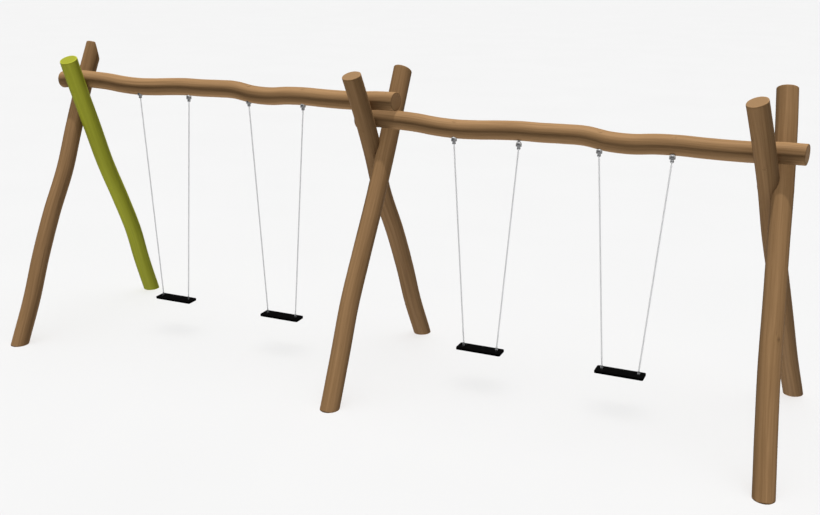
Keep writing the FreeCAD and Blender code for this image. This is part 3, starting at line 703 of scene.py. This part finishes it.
def build_chains(steel):
    """Both chains of each swing, from the pin in the fork to the bow of the shackle."""
    joints = {j["name"]: j for j in frame["joints"]}
    for i in SWINGS:
        pivot_height = joints["swing_%d_hinge" % i]["pos_m"][2]
        lug_height = joints["seat_%d_tilt" % i]["pos_m"][2]
        forks = islands("swing_%d_fork_pins" % i)
        lugs = islands("swing_%d_shackle_pins" % i)
        for side, fork, lug in zip(("left", "right"), forks, lugs):
            top = Vector(((fork[0].x + fork[1].x) / 2, 0, pivot_height - FORK_PIN_TOP))
            bottom = Vector(((lug[0].x + lug[1].x) / 2, 0, lug_height + SHACKLE_CROWN))
            name = "swing_%d_chain_%s" % (i, side)
            points, faces = chain(top, bottom)
            new_piece(name, points, faces, steel, "swing_%d" % i, ["swing_%d_chains" % i])


# ---------------------------------------------------------------- seats

def seat_outline(low, high, x):
    """Half depth and half thickness of a seat at x, drawn in at its rounded ends."""
    half_length = (high.x - low.x) / 2
    half_depth = (high.y - low.y) / 2
    half_thick = (high.z - low.z) / 2
    middle = (low.x + high.x) / 2
    past_corner = max(abs(x - middle) - (half_length - SEAT_CORNER), 0)
    past_edge = max(abs(x - middle) - (half_length - SEAT_EDGE), 0)
    depth = half_depth - SEAT_CORNER + math.sqrt(max(SEAT_CORNER ** 2 - past_corner ** 2, 0))
    thick = half_thick - SEAT_EDGE + math.sqrt(max(SEAT_EDGE ** 2 - past_edge ** 2, 0))
    return depth, thick


def groove(x, y, lugs, half_depth):
    """Depth of the anti-slip grooves at a point of the seat's top."""
    if abs(y) > half_depth - GROOVE_MARGIN:
        return 0.0
    near = min(math.hypot(x - lug, y) for lug in lugs)
    fade = min(max((near - PAD_RADIUS) / GROOVE_FADE, 0), 1)
    wave = 0.5 - 0.5 * math.cos(2 * math.pi * y / GROOVE_PITCH)
    return GROOVE_DEPTH * fade * wave ** 2


def seat_rows(half_length):
    """Places of the rows of vertices along a seat, close together at its ends."""
    ends = []
    for i in range(SEAT_END_STEPS + 1):
        ends.append(half_length - SEAT_EDGE * (1 - math.cos(math.pi / 2 * i / SEAT_END_STEPS)))
    for i in range(1, SEAT_END_STEPS + 1):
        ends.append(half_length - SEAT_EDGE - (SEAT_CORNER - SEAT_EDGE) * i / SEAT_END_STEPS)
    right = sorted(set(round(place, 7) for place in ends))
    inner = half_length - SEAT_CORNER
    between = [-inner + 2 * inner * i / SEAT_ROWS for i in range(1, SEAT_ROWS)]
    return [-place for place in reversed(right)] + between + right


def seat_row(x, middle, depth, thick, half_depth, lugs):
    """One row of vertices round a seat: its grooved top, an edge, its underside and the other edge."""
    row = []
    round_edge = min(SEAT_EDGE, thick)
    for top in (1, -1):
        for i in range(SEAT_FLAT_POINTS + 1):
            y = (depth - round_edge) * (-1 + 2 * i / SEAT_FLAT_POINTS) * top
            z = thick * top
            if top > 0 and thick > THICK_ENOUGH:
                z -= groove(x, y, lugs, half_depth)
            row.append((x, middle.y + y, middle.z + z))
        for i in range(1, SEAT_EDGE_POINTS):
            turn = math.pi * i / SEAT_EDGE_POINTS
            face = 1 if turn < math.pi / 2 else -1
            y = (depth - round_edge + round_edge * math.sin(turn)) * top
            z = ((thick - round_edge) * face + round_edge * math.cos(turn)) * top
            row.append((x, middle.y + y, middle.z + z))
    return row


def build_seat(index, rubber):
    low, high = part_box("seat_%d_board" % index)
    middle = (low + high) / 2
    lugs = [(a.x + b.x) / 2 for a, b in islands("seat_%d_lugs" % index)]
    places = seat_rows((high.x - low.x) / 2)
    points = []
    for place in places:
        x = middle.x + place
        depth, thick = seat_outline(low, high, x)
        points.extend(seat_row(x, middle, depth, thick, (high.y - low.y) / 2, lugs))
    around = len(points) // len(places)
    faces = tube_faces(len(places), around)
    last = (len(places) - 1) * around
    faces.append(tuple(reversed(range(around))))
    faces.append(tuple(range(last, last + around)))
    new_piece("seat_%d_rubber" % index, points, faces, rubber, "seat_%d" % index,
              ["seat_%d_board" % index])


# ---------------------------------------------------------------- stage, light and camera

FLOOR_TONE = 0.60
FLOOR_REACH = 300.0            # half the floor's side
BACKDROP_SHADE = 0.92
BACKDROP_RADIUS = 290.0
BACKDROP_HEIGHT = 400.0        # half of it is under the floor
BACKDROP_SIDES = 96
WOOD_KEY = 9.2                 # overhead light on the logs
SHADOW_SHARE = 0.35            # how much of it casts shadows
WOOD_UNDER = 3.1               # light from below on the logs
KEY_TILT = -1.0                # degrees that the overhead lights are turned about X
LIGHT_HEADING = 20.0           # degrees that the lights are turned about the vertical
HARDWARE_KEY = 9.5             # overhead light on the hangers, bolts and seats
CHAIN_LIGHT = 1.75             # each of two lights on the chains, from the front and the back
CHAIN_TILT = 50.0              # degrees that each is turned from overhead
FLOOR_STRENGTH = 3.95          # floor light that casts no shadow
SHADOW_STRENGTH = 0.3          # floor light that casts the soft shadows
WORLD_STRENGTH = 0.3
WORLD_LOW = 0.06               # shade of the surroundings at and below the horizon
WORLD_HIGH = 1.0               # and overhead
FAR = 600.0                    # how far the camera sees


def build_stage():
    """Pale, nearly even floor."""
    n = Nodes("floor_paint")
    place = n.add("ShaderNodeTexCoord").outputs["Object"]
    cloud = n.noise(place, scale=0.4, detail=2.0)
    darker = (FLOOR_TONE * 0.99,) * 3
    lighter = (FLOOR_TONE * 1.01,) * 3
    shade = n.ramp(cloud, ((0.2, darker), (0.8, lighter)))
    material = n.finish(Base_Color=shade, Roughness=0.9, Specular_IOR_Level=0.1)
    mesh = bpy.data.meshes.new("floor")
    corners = [(x * FLOOR_REACH, y * FLOOR_REACH, 0) for x, y in ((-1, -1), (1, -1), (1, 1), (-1, 1))]
    mesh.from_pydata(corners, [], [(0, 1, 2, 3)])
    mesh.materials.append(material)
    floor = bpy.data.objects.new("floor", mesh)
    bpy.context.scene.collection.objects.link(floor)
    return floor


def build_backdrop():
    """Pale wall and ceiling far round the floor. They light, shade and mirror nothing."""
    material = bpy.data.materials.new("backdrop")
    material.use_nodes = True
    tree = material.node_tree
    tree.nodes.clear()
    glow = tree.nodes.new("ShaderNodeEmission")
    glow.inputs["Color"].default_value = (BACKDROP_SHADE, BACKDROP_SHADE, BACKDROP_SHADE, 1)
    output = tree.nodes.new("ShaderNodeOutputMaterial")
    tree.links.new(glow.outputs[0], output.inputs["Surface"])
    bm = bmesh.new()
    bmesh.ops.create_cone(bm, cap_ends=True, segments=BACKDROP_SIDES, radius1=BACKDROP_RADIUS,
                          radius2=BACKDROP_RADIUS, depth=BACKDROP_HEIGHT)
    mesh = bpy.data.meshes.new("backdrop")
    bm.to_mesh(mesh)
    bm.free()
    mesh.materials.append(material)
    backdrop = bpy.data.objects.new("backdrop", mesh)
    backdrop.visible_diffuse = False
    backdrop.visible_glossy = False
    backdrop.visible_transmission = False
    backdrop.visible_volume_scatter = False
    backdrop.visible_shadow = False
    bpy.context.scene.collection.objects.link(backdrop)


def sun(name, strength, spread, tilt, heading=LIGHT_HEADING):
    """Light from far away. Its spread softens its shadows, and it is tilted from straight down."""
    data = bpy.data.lights.new(name, "SUN")
    data.energy = strength
    data.angle = math.radians(spread)
    lamp = bpy.data.objects.new(name, data)
    lamp.rotation_euler = (math.radians(tilt), 0, math.radians(heading))
    bpy.context.scene.collection.objects.link(lamp)
    return lamp


def gathered(name, pieces):
    group = bpy.data.collections.new(name)
    for piece in pieces:
        group.objects.link(piece)
    return group


def build_light(floor):
    """Logs, chains, other hardware and floor are each lit by lights of their own."""
    pieces = [o for o in bpy.context.scene.objects if o.type == "MESH" and o != floor]
    logs = [o for o in pieces if o.name.endswith(("_log", "_plugs"))]
    chains = [o for o in pieces if "_chain_" in o.name]
    hardware = [o for o in pieces if o not in logs and o not in chains]
    everything = gathered("swing_set", pieces)
    logs_only = gathered("logs", logs)
    chains_only = gathered("chains", chains)
    hardware_only = gathered("hardware", hardware)
    floor_only = gathered("floor", [floor])
    key = sun("wood_key", WOOD_KEY * SHADOW_SHARE, 1.5, KEY_TILT)
    fill = sun("wood_fill", WOOD_KEY * (1 - SHADOW_SHARE), 4.0, KEY_TILT)
    fill.data.use_shadow = False
    below = sun("wood_under", WOOD_UNDER, 20.0, 180.0, 0.0)
    below.light_linking.blocker_collection = everything
    for lamp in (key, fill, below):
        lamp.light_linking.receiver_collection = logs_only
    above = sun("hardware_key", HARDWARE_KEY, 8.0, KEY_TILT)
    above.light_linking.receiver_collection = hardware_only
    above.light_linking.blocker_collection = hardware_only
    for name, tilt in (("chain_light_front", -CHAIN_TILT), ("chain_light_back", CHAIN_TILT)):
        lamp = sun(name, CHAIN_LIGHT, 40.0, tilt)
        lamp.light_linking.receiver_collection = chains_only
        lamp.light_linking.blocker_collection = chains_only
    even = sun("floor_light", FLOOR_STRENGTH, 60.0, 0.0, 0.0)
    even.data.use_shadow = False
    wide = sun("shadow_light", SHADOW_STRENGTH, 50.0, 0.0, 0.0)
    for lamp in (even, wide):
        lamp.light_linking.receiver_collection = floor_only


def build_world():
    """Surroundings that are dark at the horizon and light overhead."""
    world = bpy.data.worlds.new("studio")
    world.use_nodes = True
    tree = world.node_tree
    place = tree.nodes.new("ShaderNodeTexCoord")
    parts = tree.nodes.new("ShaderNodeSeparateXYZ")
    ramp = tree.nodes.new("ShaderNodeValToRGB")
    tree.links.new(place.outputs["Generated"], parts.inputs[0])
    tree.links.new(parts.outputs[2], ramp.inputs[0])
    tree.links.new(ramp.outputs[0], tree.nodes["Background"].inputs["Color"])
    ramp.color_ramp.elements[0].color = (WORLD_LOW, WORLD_LOW, WORLD_LOW, 1)
    ramp.color_ramp.elements[1].color = (WORLD_HIGH, WORLD_HIGH, WORLD_HIGH, 1)
    tree.nodes["Background"].inputs["Strength"].default_value = WORLD_STRENGTH
    bpy.context.scene.world = world


def build_camera():
    data = bpy.data.cameras.new("camera")
    data.lens = CAMERA_LENS
    data.sensor_width = CAMERA_SENSOR
    data.shift_x, data.shift_y = CAMERA_SHIFT
    data.clip_end = FAR
    camera = bpy.data.objects.new("camera", data)
    camera.location = CAMERA_PLACE
    camera.rotation_euler = (math.radians(90 - CAMERA_DIP), 0, math.radians(CAMERA_HEADING))
    bpy.context.scene.collection.objects.link(camera)
    bpy.context.scene.camera = camera


# ---------------------------------------------------------------- assembly

def dress_node(node, material):
    """Gives a CAD node its finish."""
    piece = frame["nodes"][node]
    piece.data.materials.clear()
    piece.data.materials.append(material)


def dress_hardware(steel, seat_steel, cast, plug, paint, metal):
    """Gives every CAD node its finish, whether a piece stands for it or not."""
    for node in frame["nodes"]:
        if node == "painted_plugs":
            dress_node(node, paint)
        elif node.endswith("_plugs"):
            dress_node(node, plug)
        elif node.endswith(("housings", "tongues")):
            dress_node(node, cast)
        elif node.endswith("bushes"):
            dress_node(node, metal)
        elif node.endswith(("lugs", "shackles", "shackle_pins")):
            dress_node(node, seat_steel)
        else:
            dress_node(node, steel)


build_camera()
wood = log_wood("robinia")
paint = painted_wood("green_paint")
steel = zinc_steel("galvanised_steel", ZINC, 0.42, 260.0, 0.6)
seat_steel = zinc_steel("seat_steel", ZINC_DULL, 0.46, 260.0, 0.5)
cast = zinc_steel("cast_housing", ZINC_CAST, 0.5, 500.0, 0.3)
chain_steel = zinc_steel("chain_steel", ZINC_BRIGHT, 0.40, 400.0, 0.4)
rubber = black_rubber("black_rubber")
dress_hardware(steel, seat_steel, cast, plug_wood("plug_wood"), paint, bronze("bronze"))
build_logs(wood, paint)
build_chains(chain_steel)
for seat_index in SWINGS:
    build_seat(seat_index, rubber)
build_light(build_stage())
build_world()
build_backdrop()
bpy.context.scene.view_settings.view_transform = "Standard"
